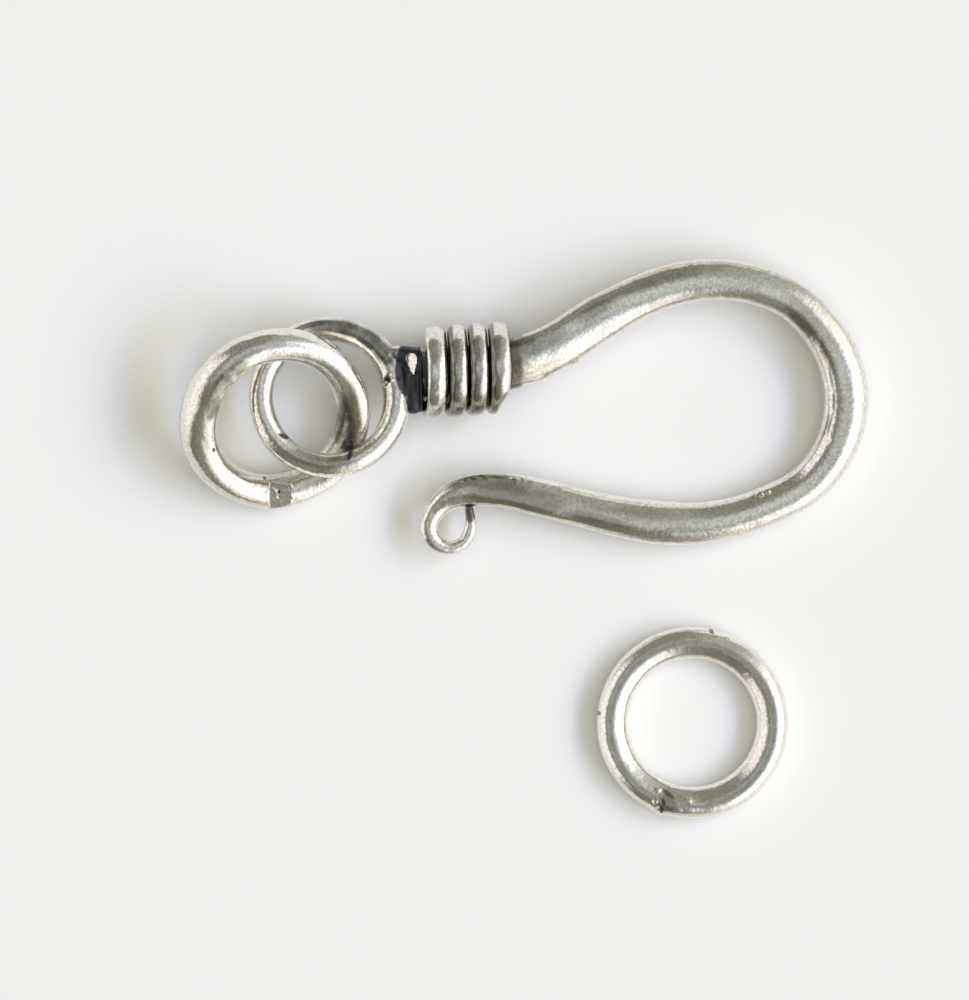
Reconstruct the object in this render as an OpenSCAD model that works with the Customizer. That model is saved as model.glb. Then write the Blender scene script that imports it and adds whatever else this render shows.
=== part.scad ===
// Hook and eye clasp for a necklace or bracelet. A forged wire hook ends in an eye and a curled tip,
// a short coil of wire is wound round its neck, a ring is linked through the eye, and a loose
// catch ring lies beside it. Everything lies on a table: X runs along the hook, Y across it
// and Z up, with the origin on the table under the middle of the whole clasp.

/* [Rings] */
// Outer diameter of the linked ring and of the catch ring
ring_d = 8; // [7.8:0.05:8.1]
// Wire diameter of both rings
ring_wire = 1.33; // [1.1:0.01:1.36]
// Slope of the linked ring, which leans on the eye
link_lean = 27.8; // [27:0.1:30]
// Diameter of the solder bead that closes each ring
solder_d = 1.46; // [1.46:0.01:1.5]

/* [Eye] */
// Outer diameter of the eye at the end of the hook
eye_d = 6.7; // [6.4:0.05:6.9]
// Wire diameter of the eye
eye_wire = 1.02; // [0.9:0.01:1.04]

/* [Coil] */
// Outer diameter of the coil round the neck
coil_d = 3.85; // [3.8:0.01:4.2]
// Wire diameter of the coil
coil_wire = 0.84; // [0.7:0.01:0.85]
// Distance from one turn of the coil to the next
coil_pitch = 0.88; // [0.87:0.01:1]
// Turns of the coil that show from above
coil_bands = 4; // [3:1:4]

/* [Hook] */
// Wire diameter of the hook where it bends
hook_wire = 1.75; // [1.5:0.01:1.78]
// Height of the coil's middle above the table
neck_height = 1.97; // [1.97:0.01:2.1]
// Fall of the hook towards its bend, in mm for each mm
hook_dip = 0.047; // [0.04:0.001:0.047]
// Fall of the hook towards its lower arm, in mm for each mm
hook_roll = 0.098; // [0.08:0.001:0.098]

/* [Hidden] */

silver = [0.87, 0.86, 0.82];
dark_silver = [0.45, 0.44, 0.42];

// Columns of a row that describes a wire: place along, place across and thickness
ALONG = 0;
ACROSS = 1;
GIRTH = 2;

// Places of the pieces seen from above
coil_at = [-2.33, 7.04];
eye_at = [-8.10, 5.90];
link_at = [-10.40, 5.06];
catch_at = [7.00, -7.65];

// Height of the eye's middle, which lies level across and falls with the hook along it
eye_height = 2.10;

// Direction in which the linked ring rises
link_rise_way = 114.8;
// Where each ring is soldered shut, and how far round the bead runs
link_solder_way = -85;
link_solder_arc = 16;
catch_solder_way = -104.5;
catch_solder_arc = 26;
// Height of the bead's middle above the wire's, which leaves more solder on top
solder_rise = 0.05;

// The hook from the coil's left end to its curled tip, from the middle of the coil:
// mm along, mm across, and the wire's thickness as a share of hook_wire
hook_rows = [
    [-2.00, -0.14, 1.15],
    [0.00, 0.00, 1.15],
    [1.35, 0.08, 1.13],
    [2.17, 0.34, 1.18],
    [3.42, 0.85, 1.16],
    [5.50, 2.13, 1.15],
    [7.17, 3.04, 1.05],
    [8.83, 3.60, 1.02],
    [10.50, 3.75, 0.98],
    [12.17, 3.46, 0.94],
    [13.45, 2.90, 0.95],
    [14.50, 1.94, 0.98],
    [15.36, 0.55, 1.04],
    [15.73, -1.25, 1.07],
    [15.40, -2.95, 1.04],
    [14.40, -4.48, 0.98],
    [12.17, -5.76, 0.96],
    [9.67, -6.37, 1.00],
    [8.00, -6.36, 1.05],
    [6.33, -6.12, 0.99],
    [4.67, -5.74, 0.91],
    [3.00, -5.31, 0.91],
    [1.33, -5.00, 0.82],
    [0.50, -5.00, 0.80],
    [-0.33, -5.12, 0.72],
    [-0.96, -5.42, 0.59],
    [-1.42, -5.92, 0.48],
    [-1.63, -6.67, 0.43],
    [-1.29, -7.25, 0.38],
    [-0.67, -7.40, 0.31],
    [-0.17, -7.17, 0.31],
    [0.10, -6.54, 0.29],
    [0.10, -6.17, 0.21],
    [0.08, -5.86, 0.15],
];

// Solid neck between the coil and the eye: mm along, mm across and mm thick
neck_rows = [
    [-2.36, -0.40, 0.92],
    [-2.38, -0.95, 1.06],
    [-2.36, -1.38, 0.90],
];
// Solder that closes the eye on its outer side
web_rows = [
    [-2.98, -0.05, 0.90],
    [-2.84, -0.55, 0.95],
    [-2.76, -1.05, 1.00],
];
// Flattened end of the wire, soldered to the eye above the joint
strand_rows = [
    [-3.00, 0.60, 0.80],
    [-2.60, 0.52, 0.95],
    [-2.25, 0.40, 1.10],
    [-2.10, 0.00, 1.15],
];
// Collar against the coil's left end: mm along its start, thickness, mm across and diameter
collar_start = -2.07;
collar_t = 0.16;
collar_across = -0.54;
collar_d = 2.40;

// The eye's wire thickens near the neck, and its two ends leave a notch between them
eye_swell = 0.22;
eye_swell_arc = 55;
eye_gap_way = 13;
eye_gap_arc = 4;

// Squareness of the coil's wire: 2 is round, and more is flatter
coil_square = 3;
// Share of the coil's lean that is taken up on its underside, and how far past the top it starts
coil_lag = 0.9;
coil_overrun = 0.27;
// Way in which the neck points, seen from above
coil_way = 4;

// Sides of each faceted wire, and its steps: from row to row, round the eye, and in one turn
hook_sides = 20;
hook_steps = 4;
eye_sides = 14;
eye_steps = 54;
coil_sides = 12;
coil_steps = 20;
ball_sides = 14;
// Sides of the true curves of the rings
ring_sides = 96;
ring_wire_sides = 48;

// Middle line of both rings, and its height where a ring rests on its bead of solder
ring_middle_r = (ring_d - ring_wire) / 2;
ring_height = solder_d / 2 - solder_rise;

function unit(v) = v / norm(v);

// Wire row i of a table, kept within its ends
function row(rows, i) = rows[min(max(i, 0), len(rows) - 1)];

// Straight distance between two rows of a table
function chord(a, b) = norm([b[ALONG] - a[ALONG], b[ACROSS] - a[ACROSS]]);

// Change for each mm of run at row i, weighted towards the nearer neighbour
function row_slope(rows, i) =
    let (
        here = row(rows, i),
        back = chord(row(rows, i - 1), here),
        ahead = chord(here, row(rows, i + 1)),
        back_slope = back > 0 ? (here - row(rows, i - 1)) / back : undef,
        ahead_slope = ahead > 0 ? (row(rows, i + 1) - here) / ahead : undef
    )
    back == 0 ? ahead_slope
        : ahead == 0 ? back_slope
        : (back_slope * ahead + ahead_slope * back) / (back + ahead);

// Row at share t of the smooth run from row i to the next
function smooth_row(rows, i, t) =
    let (
        a = rows[i],
        b = rows[i + 1],
        run = chord(a, b),
        lead = row_slope(rows, i) * run,
        trail = row_slope(rows, i + 1) * run
    )
    (2 * t ^ 3 - 3 * t ^ 2 + 1) * a + (t ^ 3 - 2 * t ^ 2 + t) * lead
        + (3 * t ^ 2 - 2 * t ^ 3) * b + (t ^ 3 - t ^ 2) * trail;

// A table of rows with steps more rows between each pair
function smooth_rows(rows, steps) = [
    for (i = [0:len(rows) - 2], s = [0:steps - 1]) smooth_row(rows, i, s / steps),
    rows[len(rows) - 1],
];

// Height of the hook's middle line at a place measured from the middle of the coil
function hook_height(along, across) = neck_height - hook_dip * along + hook_roll * across;

// Point in space of a place measured from the middle of the coil
function hook_point(along, across) =
    [coil_at.x + along, coil_at.y + across, hook_height(along, across)];

// Distance of a wire's surface from its middle, for a wire of radius 1
function wire_edge(turn, square) = (abs(cos(turn)) ^ square + abs(sin(turn)) ^ square) ^ (-1 / square);

// Ring of points round a wire, square to the way it runs
function wire_ring(at, way, wire, reference, sides, square) =
    let (
        side = unit(cross(reference, way)),
        up = cross(unit(way), side)
    )
    [
        for (k = [0:sides - 1])
            let (turn = 360 * (k + 0.5) / sides)
            at + wire / 2 * wire_edge(turn, square) * (cos(turn) * side + sin(turn) * up)
    ];

// Wire along a line of points, with a diameter for each; reference is never along the line
module swept_wire(line, wires, reference, sides, square = 2) {
    last = len(line) - 1;
    points = [
        for (i = [0:last])
            let (way = line[min(i + 1, last)] - line[max(i - 1, 0)])
            each wire_ring(line[i], way, wires[i], reference, sides, square)
    ];
    walls = [
        for (i = [0:last - 1], k = [0:sides - 1])
            let (a = i * sides + k, b = i * sides + (k + 1) % sides)
            [a, a + sides, b + sides, b]
    ];
    start_cap = [[for (k = [0:sides - 1]) k]];
    end_cap = [[for (k = [sides - 1:-1:0]) last * sides + k]];
    polyhedron(points, concat(walls, start_cap, end_cap), convexity = 10);
}

// Lumps of metal run together along a table of rows
module fused_lumps(rows) {
    for (i = [0:len(rows) - 2])
        hull()
            for (lump = [rows[i], rows[i + 1]])
                translate(hook_point(lump[ALONG], lump[ACROSS]))
                    sphere(d = lump[GIRTH], $fn = ball_sides);
}

// Turns things that point along X the way the neck points, with their start in the middle of the coil
module along_neck() {
    translate(hook_point(0, 0))
        rotate([0, atan(hook_dip * cos(coil_way) - hook_roll * sin(coil_way)), coil_way])
            children();
}

// Forged wire from the neck round the bend to the curled tip
module hook_arm() {
    rows = smooth_rows(hook_rows, hook_steps);
    swept_wire(
        [for (r = rows) hook_point(r[ALONG], r[ACROSS])],
        [for (r = rows) r[GIRTH] * hook_wire],
        [0, 0, 1],
        hook_sides
    );
}

// Open ring of thinner wire, whose ends meet at the neck
module eye() {
    middle_r = (eye_d - eye_wire) / 2;
    turn = 360 - eye_gap_arc;
    ways = [for (i = [0:eye_steps]) eye_gap_way + (eye_gap_arc + 2 * turn * i / eye_steps) / 2];
    swept_wire(
        [
            for (way = ways)
                [
                    eye_at.x + middle_r * cos(way),
                    eye_at.y + middle_r * sin(way),
                    eye_height - hook_dip * middle_r * cos(way),
                ]
        ],
        [
            for (way = ways)
                let (off = min(way - eye_gap_way, eye_gap_way + 360 - way))
                eye_wire * (1 + eye_swell * max(0, 1 - off / eye_swell_arc))
        ],
        [0, 0, 1],
        eye_sides
    );
}

// Thin round plate of solder between the neck and the coil
module collar() {
    translate(hook_point(collar_start, collar_across))
        rotate([0, 90, coil_way])
            cylinder(d = collar_d, h = collar_t, $fn = hook_sides);
}

module hook() {
    color(silver) {
        hook_arm();
        eye();
        fused_lumps(neck_rows);
        fused_lumps(web_rows);
        fused_lumps(strand_rows);
        collar();
    }
}

module neck_coil() {
    first = -coil_overrun;
    last = coil_bands - 1 + coil_overrun;
    steps = round((last - first) * coil_steps);
    turns = [for (i = [0:steps]) first + (last - first) * i / steps];
    middle = (coil_bands - 1) / 2;
    coil_r = (coil_d - coil_wire) / 2;
    color(dark_silver)
        along_neck()
            swept_wire(
                [
                    for (t = turns)
                        [
                            coil_pitch * (t - middle - coil_lag * sin(360 * t) / (2 * PI)),
                            coil_r * sin(360 * t),
                            coil_r * cos(360 * t),
                        ]
                ],
                [for (t = turns) coil_wire],
                [1, 0, 0],
                coil_sides,
                coil_square
            );
}

// Ring of round wire lying flat round the origin, closed by a bead of solder
module soldered_ring(solder_way, solder_arc) {
    rotate_extrude($fn = ring_sides)
        translate([ring_middle_r, 0])
            circle(d = ring_wire, $fn = ring_wire_sides);
    rotate([0, 0, solder_way - solder_arc / 2])
        rotate_extrude(angle = solder_arc, $fn = ring_sides)
            translate([ring_middle_r, solder_rise])
                circle(d = solder_d, $fn = ring_wire_sides);
}

module link_ring() {
    color(silver)
        translate([link_at.x, link_at.y, ring_height + ring_middle_r * sin(link_lean)])
            rotate([0, 0, link_rise_way])
                rotate([0, -link_lean, 0])
                    soldered_ring(link_solder_way - link_rise_way, link_solder_arc);
}

module catch_ring() {
    color(silver)
        translate([catch_at.x, catch_at.y, ring_height])
            soldered_ring(catch_solder_way, catch_solder_arc);
}

hook();
neck_coil();
link_ring();
catch_ring();
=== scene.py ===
import math

import bpy
import numpy as np
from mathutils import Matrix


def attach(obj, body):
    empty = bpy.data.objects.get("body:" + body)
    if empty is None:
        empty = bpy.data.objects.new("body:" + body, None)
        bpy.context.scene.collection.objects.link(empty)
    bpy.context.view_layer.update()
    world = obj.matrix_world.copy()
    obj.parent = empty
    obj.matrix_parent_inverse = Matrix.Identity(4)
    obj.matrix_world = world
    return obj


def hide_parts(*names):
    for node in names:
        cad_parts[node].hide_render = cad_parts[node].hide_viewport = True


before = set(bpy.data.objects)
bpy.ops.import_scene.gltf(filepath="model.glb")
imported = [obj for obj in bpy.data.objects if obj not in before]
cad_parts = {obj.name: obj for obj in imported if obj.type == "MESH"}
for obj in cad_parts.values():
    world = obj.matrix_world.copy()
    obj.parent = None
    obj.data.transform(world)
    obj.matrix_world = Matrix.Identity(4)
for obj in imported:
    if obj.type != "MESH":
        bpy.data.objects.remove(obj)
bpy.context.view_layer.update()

MM = 0.001
PIECES_BODY = "root"

# The picture: its height and scale in pixels, the place that its middle shows, how high the
# camera is, and the width of its sensor
PICTURE_HIGH = 1000
PIXELS_PER_MM = 24.0
PICTURE_MIDDLE = (-1.646, 1.625)
CAMERA_HEIGHT = 1000.0
SENSOR = 36.0
TABLE_HALF = 400.0

# Places of the pieces seen from above
COIL_AT = (-2.33, 7.04)
EYE_AT = (-8.10, 5.90)
LINK_AT = (-10.40, 5.06)
CATCH_AT = (7.00, -7.65)

# Both rings: outside diameter, thickness of the wire, and height of its middle where it lies down
RING_D = 8.0
RING_WIRE = 1.33
RING_HEIGHT = 0.68
RING_MIDDLE_R = (RING_D - RING_WIRE) / 2
# How steeply the linked ring leans, and the way in which it rises
LINK_TILT = 27.8
LINK_RISE_WAY = 114.8

# The eye: outside diameter, wire, and height of its middle
EYE_D = 6.7
EYE_WIRE = 1.02
EYE_HEIGHT = 2.10
# Its joint: the way and the arc of the gap, and how much the wire swells beside it, over what arc
EYE_GAP_WAY = 13.0
EYE_GAP_ARC = 3.0
EYE_SWELL = 0.22
EYE_SWELL_ARC = 55.0

# The hook: its usual wire, the height of its middle in the coil, and how much it falls to the
# right and rises to the top of the picture, in mm for each mm
HOOK_WIRE = 1.75
NECK_HEIGHT = 1.97
HOOK_DIP = 0.047
HOOK_ROLL = 0.098

# The coil: outside diameter, wire, step of its turns, their number, and the way of its axis
COIL_D = 3.85
COIL_WIRE = 0.84
COIL_MIDDLE_R = (COIL_D - COIL_WIRE) / 2
COIL_PITCH = 0.85
COIL_BANDS = 4
COIL_WAY = 4.0
# How far its wire goes on past the first and the last crown, in turns
COIL_OVERRUN = 0.27
# How unevenly it steps, less on top and more underneath, as a share, how far its turns lean to the
# right at the top, in mm for each mm, and how far it is shifted
COIL_LAG = 0.5
COIL_BOW = 0.05
COIL_SHIFT = -0.085
# How far the first turn is widened and leans to the left, and the last is widened to the right
COIL_FIRST_WIDER = 0.07
COIL_FIRST_LEAN = 0.10
COIL_LAST_WIDER = 0.08
# How far the wire's last end is cut back
COIL_END_CUT = 0.28
# Where the first turn ends, in mm along the wire, and where the last turn and the cut end start,
# in turns: from nothing to all of it
FIRST_TURN_ENDS = (5.5, 7.5)
LAST_TURN_STARTS = (3.1, 3.3)
CUT_END_STARTS = (2.8, 2.9)

# Columns of a row that describes a wire: place along, place across and thickness
ALONG, ACROSS, GIRTH = range(3)

# The hook from the coil's left end to its curled tip, from the middle of the coil:
# mm along, mm across, and the wire's thickness as a share of HOOK_WIRE
HOOK_ROWS = [
    # Through the coil and up the stem
    [-2.00, -0.14, 1.15],
    [0.00, 0.00, 1.15],
    [1.35, 0.08, 1.13],
    [2.17, 0.34, 1.18],
    [3.42, 0.85, 1.16],
    [5.50, 2.13, 1.15],
    [7.17, 3.04, 1.05],
    [8.83, 3.60, 1.02],
    # Round the wide bend
    [10.50, 3.75, 0.98],
    [12.17, 3.46, 0.94],
    [13.45, 2.90, 0.95],
    [14.50, 1.94, 0.98],
    [15.36, 0.55, 1.04],
    [15.73, -1.25, 1.07],
    [15.40, -2.95, 1.04],
    [14.40, -4.48, 0.98],
    [12.17, -5.76, 0.96],
    # Back along the lower arm, which tapers
    [9.67, -6.37, 1.00],
    [8.00, -6.36, 1.05],
    [6.33, -6.12, 0.99],
    [4.67, -5.74, 0.91],
    [3.00, -5.31, 0.91],
    [1.33, -5.00, 0.82],
    [0.50, -5.00, 0.80],
    [-0.33, -5.12, 0.72],
    # Round the curl
    [-0.96, -5.42, 0.59],
    [-1.42, -5.92, 0.48],
    [-1.63, -6.67, 0.43],
    [-1.29, -7.25, 0.38],
    [-0.67, -7.40, 0.31],
    [-0.17, -7.17, 0.31],
    [0.10, -6.54, 0.29],
    [0.10, -6.17, 0.24],
    [0.02, -5.70, 0.20],
]

# Solid neck between the coil and the eye: mm along, mm across and mm thick
NECK_ROWS = [
    [-2.26, -0.40, 0.92],
    [-2.30, -0.95, 1.06],
    [-2.28, -1.38, 0.92],
]
# Solder that closes the eye on its outer side
WEB_ROWS = [
    [-2.98, -0.05, 0.90],
    [-2.84, -0.55, 0.95],
    [-2.76, -1.05, 1.00],
]
# Flattened end of the wire that is soldered to the eye, above the joint
STRAND_ROWS = [
    [-3.00, 0.60, 0.80],
    [-2.60, 0.52, 0.95],
    [-2.25, 0.40, 1.10],
    [-2.10, 0.00, 1.15],
]
# Edge of the collar that shows to the left of the coil
EDGE_ROWS = [
    [-1.98, 0.80, 0.36],
    [-1.97, 0.20, 0.34],
    [-1.97, -0.60, 0.34],
    [-1.97, -1.60, 0.34],
]
# Collar against the coil's left end: mm along, mm across, diameter and thickness
COLLAR = (-1.94, -0.54, 2.44, 0.25)

# How fine each wire is made: rings along it and sides round it
HOOK_FINENESS = (800, 84)
EYE_FINENESS = (300, 60)
RING_FINENESS = (760, 96)
COIL_FINENESS = (620, 56)
# How fine the neck is made: balls from one row to the next, rings and sides of a ball, the voxel
# of its skin in mm, and how often the skin is smoothed
NECK_BALLS = 6
BALL_FINENESS = (16, 24)
NECK_VOXEL = 0.040
NECK_SMOOTHINGS = 4

# How each wire is forged: size of the hammer's blows and their depth, and the same for its ripples
ARM_FORGING = (2.4, 0.05, 0.5, 0.010)
EYE_FORGING = (1.6, 0.05, 0.4, 0.012)
RING_FORGING = (1.8, 0.05, 0.4, 0.012)
COIL_FORGING = (0.9, 0.03, 0.3, 0.016)
# Section of each wire: how square it is, where 2 is round, and its width in the direction of Z, as
# a share of the other way. For the coil, which is wound round Z, that is its width along the neck
ROUND_SECTION = (2.0, 1.0)
ARM_SECTION = (2.3, 1.0)
LINK_SECTION = (2.3, 1.0)
COIL_SECTION = (2.6, 0.96)

# How far the highest line of a wire lies off its middle line, as shares of its radius: right and up
ARM_LEAN = (0.0, -0.12)
STEM_LEAN = (0.0, 0.40)
TAPER_LEAN = (0.0, -0.34)
CURL_LEAN = (-0.08, 0.0)
EYE_LEAN = (0.0, 0.16)
LINK_LEAN = (0.32, -0.12)
CATCH_LEAN = (0.0, -0.12)
# Where the hook's parts start or end, from nothing to all of it: the eye and the curl in mm to the
# left, the upper half in mm up, and the stem and the taper in mm to the right
EYE_STARTS = (4.4, 5.0)
CURL_STARTS = (1.0, 2.4)
UPPER_STARTS = (3.5, 4.5)
STEM_ENDS = (2.0, 6.0)
TAPER_ENDS = (1.0, 3.0)

# Thicker side of a ring: its way round the ring, half its arc, and how much thicker
LINK_SWELL = (60.0, 75.0, 0.17)
NO_SWELL = (0.0, 90.0, 0.0)
# How far the highest line of a ring's wire lies outside its middle line, as a share of its radius
RING_SPREAD = 0.12

# Names of the marks that the materials read from each mesh
WIRE_PLACE = "wire_place"
# The blackened and browned marks carry stains and oxide, and painted shade too
DARK_STAIN_AND_SHADE = "dark_stain_and_shade"
BROWN_STAIN_AND_SHADE = "brown_stain_and_shade"

# Stained places, and places darkened with painted shade: mm X, mm Y, half length, half width, its way,
# and how strong
HOOK_DARK_STAIN_AND_SHADE = [
    # The neck, and the wire inside the coil
    [-4.74, 7.10, 0.50, 1.00, 0, 4.0],
    [-4.45, 5.80, 0.33, 0.80, 0, 4.0],
    [-2.33, 7.04, 1.55, 2.50, 0, 4.0],
    # The foot of the stem, to the right of the coil
    [-0.34, 8.20, 0.50, 0.40, 0, 0.34],
    [-0.38, 7.10, 0.32, 1.70, 0, 0.44],
    [0.20, 8.00, 0.60, 0.42, 10, 0.32],
    # The upper side of the stem and the bend, darkened with painted shade along the dim band that they
    # mirror
    [1.00, 8.22, 1.10, 0.28, 28, 0.28],
    [2.95, 9.48, 1.10, 0.30, 31, 0.28],
    [4.80, 10.47, 1.00, 0.30, 24, 0.18],
    [6.60, 11.02, 1.10, 0.30, 12, 0.15],
    [8.60, 11.15, 1.10, 0.30, -6, 0.15],
    [11.6, 9.00, 1.00, 0.26, -45, 0.26],
    [12.6, 7.60, 0.90, 0.22, -65, 0.22],
    # A thin line along the inner side of the bend
    [12.50, 7.79, 0.60, 0.07, -72, 0.30],
    [12.76, 6.75, 0.60, 0.07, -80, 0.40],
    [12.88, 5.71, 0.60, 0.07, 90, 0.40],
    [12.72, 4.79, 0.55, 0.07, 76, 0.40],
    # The lower arm and its taper, darkened with painted shade along the dim band that they mirror
    [-1.00, 1.95, 1.60, 0.60, 4, 0.29],
    [0.60, 1.65, 1.60, 0.50, -10, 0.26],
    [1.80, 1.60, 2.00, 0.50, -14, 0.15],
    [5.00, 0.85, 2.00, 0.50, -8, 0.12],
    [0.00, 1.50, 1.60, 0.35, -12, 0.24],
    [3.20, 0.75, 1.80, 0.35, -14, 0.24],
    [6.50, 0.25, 1.60, 0.30, -2, 0.18],
    [-2.80, 2.40, 0.80, 0.30, 30, 0.16],
    [-1.60, 2.60, 1.00, 0.30, 6, 0.16],
    # The crease inside the curl
    [-2.24, 1.10, 0.22, 0.42, 0, 0.7],
    # The eye: painted shade on its upper side and its lower side, and three short dark lines, the last
    # of them painted shade where the linked ring passes under it
    [-8.36, 8.84, 0.70, 0.30, 3, 0.36],
    [-7.34, 8.75, 0.70, 0.36, -15, 0.42],
    [-6.41, 8.32, 0.70, 0.40, -35, 0.45],
    [-5.78, 7.72, 0.60, 0.40, -52, 0.50],
    [-9.00, 3.35, 1.00, 0.30, -18, 0.30],
    [-7.90, 3.15, 0.90, 0.28, 5, 0.28],
    [-5.72, 6.58, 0.12, 0.22, -30, 0.8],
    [-10.0, 4.28, 0.24, 0.10, -25, 0.7],
    [-7.25, 3.50, 0.10, 0.28, -20, 0.8],
]
HOOK_BROWN_STAIN_AND_SHADE = [
    # The foot of the stem
    [-0.34, 6.90, 0.36, 1.60, 0, 0.9],
    [0.90, 7.20, 0.80, 0.05, 25, 0.8],
    # The bend, the lower arm and its taper
    [12.2, 8.90, 1.60, 0.60, -40, 0.5],
    [3.50, 1.00, 3.50, 0.35, 0, 0.5],
    [0.00, 1.50, 1.60, 0.40, -12, 0.7],
    [-1.50, 2.20, 1.40, 0.60, 0, 0.5],
    # The eye: painted shade on its lower and its upper side
    [-7.80, 3.20, 1.20, 0.40, 0, 0.4],
    [-7.80, 8.40, 0.50, 0.60, 0, 0.7],
]
LINK_DARK_STAIN_AND_SHADE = [
    # Its upper left side, and the inner edge of its left side, darkened with painted shade along the dim
    # band that they mirror
    [-11.6, 7.55, 0.90, 0.20, 28, 0.22],
    [-11.9, 7.06, 0.60, 0.27, 38, 0.40],
    [-12.5, 6.45, 0.70, 0.31, 50, 0.46],
    [-12.9, 5.62, 0.90, 0.28, 75, 0.46],
    [-13.2, 5.35, 0.24, 1.10, 0, 0.18],
    [-13.2, 4.25, 0.19, 0.80, 8, 0.24],
    # Its right side, where it leans on the eye, darkened with painted shade
    [-7.52, 4.85, 0.42, 1.10, -8, 0.46],
    [-7.20, 4.60, 0.24, 0.80, 8, 0.45],
    [-7.30, 3.90, 0.34, 0.40, 0, 0.65],
    # Specks
    [-10.2, 1.96, 0.07, 0.07, 0, 0.9],
    [-10.8, 2.54, 0.06, 0.06, 0, 0.7],
    [-12.9, 3.70, 0.06, 0.10, 0, 0.7],
]
LINK_BROWN_STAIN_AND_SHADE = [
    # Painted shade on its right side and where it leans on the eye, and a browner bottom
    [-6.95, 5.30, 0.20, 1.60, 10, 0.9],
    [-9.80, 2.40, 2.40, 0.25, 5, 0.6],
    [-7.60, 3.80, 0.70, 0.70, 0, 0.6],
]
CATCH_BLACK = [
    # Round the joint
    [5.80, -10.96, 0.10, 0.16, 20, 0.72],
    [6.02, -10.62, 0.34, 0.10, -40, 0.46],
    [5.98, -11.10, 0.50, 0.30, 0, 0.28],
    [5.72, -11.25, 0.10, 0.14, 0, 0.60],
    # Specks at the top and the left
    [7.79, -3.83, 0.09, 0.14, 30, 0.55],
    [3.12, -7.25, 0.08, 0.10, 0, 0.45],
]
CATCH_BROWN = [
    [8.40, -4.90, 1.50, 0.60, 0, 0.3],
    [6.00, -10.8, 0.70, 0.50, 0, 0.6],
    [10.2, -6.60, 0.50, 1.00, 0, 0.3],
]
# How far out a patch is still full and where it has faded, as shares of its half sizes
PATCH_FADE = (0.5, 1.4)

# Marks on the metal, raised or pressed in: mm X, mm Y, half length, half width, way and height
HOOK_MARKS = [
    # The crease between the eye and the neck
    [-5.72, 6.60, 0.10, 0.26, -25, -0.10],
    # A lump and a ridge under the stem
    [2.20, 7.33, 0.26, 0.10, 30, 0.05],
    [1.00, 6.72, 0.90, 0.07, 12, 0.04],
    # Dents and two pits in the bend
    [12.62, 4.12, 0.10, 0.16, 0, -0.02],
    [13.29, 8.30, 0.10, 0.30, -60, -0.012],
    [9.87, 1.83, 0.10, 0.10, 0, -0.05],
    [10.16, 1.92, 0.10, 0.09, 0, -0.05],
    # Dashes along the upper edge of the lower arm
    [-0.30, 2.43, 0.13, 0.09, 0, 0.045],
    [0.00, 2.48, 0.14, 0.10, -10, 0.045],
    [0.42, 2.37, 0.26, 0.08, -15, 0.045],
    [0.88, 2.27, 0.26, 0.08, -15, 0.045],
    [1.38, 2.18, 0.20, 0.09, -8, 0.045],
    [1.80, 2.20, 0.16, 0.08, 0, 0.040],
    [2.40, 2.16, 0.14, 0.06, -10, 0.035],
    [2.95, 2.20, 0.14, 0.06, -12, 0.035],
    [3.45, 2.10, 0.14, 0.06, -12, 0.035],
    [4.05, 2.00, 0.14, 0.06, -12, 0.035],
    [4.60, 1.87, 0.14, 0.06, -12, 0.035],
    [5.25, 1.77, 0.14, 0.06, -12, 0.035],
]
LINK_MARKS = [
    # A pit and two beads beside the joint
    [-10.2, 1.96, 0.06, 0.06, 0, -0.05],
    [-10.4, 2.05, 0.06, 0.05, 0, 0.03],
    [-10.3, 1.75, 0.05, 0.05, 0, 0.03],
    # A lump where it passes the eye
    [-7.10, 3.42, 0.10, 0.20, -20, 0.05],
]
CATCH_MARKS = [
    # Solder of the joint: two lumps, beads round them and two swellings
    [5.54, -11.40, 0.36, 0.22, 20, 0.07],
    [6.35, -11.10, 0.90, 0.40, -4, 0.06],
    [5.58, -10.42, 0.12, 0.10, 0, 0.040],
    [5.46, -10.92, 0.10, 0.10, 0, 0.040],
    [5.70, -11.34, 0.10, 0.09, 0, 0.035],
    [6.84, -10.88, 0.14, 0.11, 0, 0.040],
    [6.15, -10.55, 0.30, 0.20, 30, 0.020],
    [6.25, -11.20, 0.30, 0.20, -20, 0.020],
    # A nick at the top, and the burr beside it
    [7.79, -3.80, 0.07, 0.14, 0, -0.03],
    [8.25, -4.06, 0.36, 0.08, -6, 0.03],
]

# Joint of the linked ring, filed flat: mm X, half its length, how far it is swollen and how far
# the flat lies above the middle of the wire
LINK_JOINT = (-10.13, 0.46, 0.06, 0.585)
# The wire's middle there, in mm Y and height, how far its metal reaches up from it in mm Y, and the
# slope of the flat
LINK_JOINT_MIDDLE = (1.86, 0.73)
LINK_JOINT_REACH = 0.55
LINK_JOINT_TILT = 0.22

# Drop-shaped bright facet on the neck: mm X of its tip and its top, mm Y of its tip and its top,
# and half its width, then its height and how steeply it rises to the right
DROP = (-4.60, -4.70, 6.80, 7.74, 0.27)
DROP_HEIGHT = 2.60
DROP_SLOPE = 0.48

# Painted shade by the way that the surface faces, which browns and darkens rims and crowns: its way,
# half the arc, lowest and highest tilt, lowest mm X and mm Y, and how strongly it is browned and
# blackened
HOOK_PAINTED_SHADE = [
    [105, 75, 43, 60, -4.6, 3.0, 0.8, 0.0],
    [-110, 45, 43, 68, -4.6, -3.0, 0.7, 0.0],
]
LINK_PAINTED_SHADE = [
    [-105, 40, 43, 68, -20.0, -3.0, 0.6, 0.0],
]
CATCH_PAINTED_SHADE = [
    [-105, 40, 43, 68, -20.0, -20.0, 0.6, 0.0],
    # The whole crown, darkened with painted shade
    [0, 200, -20, 9, -20.0, -20.0, 0.1, 0.31],
]
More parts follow.
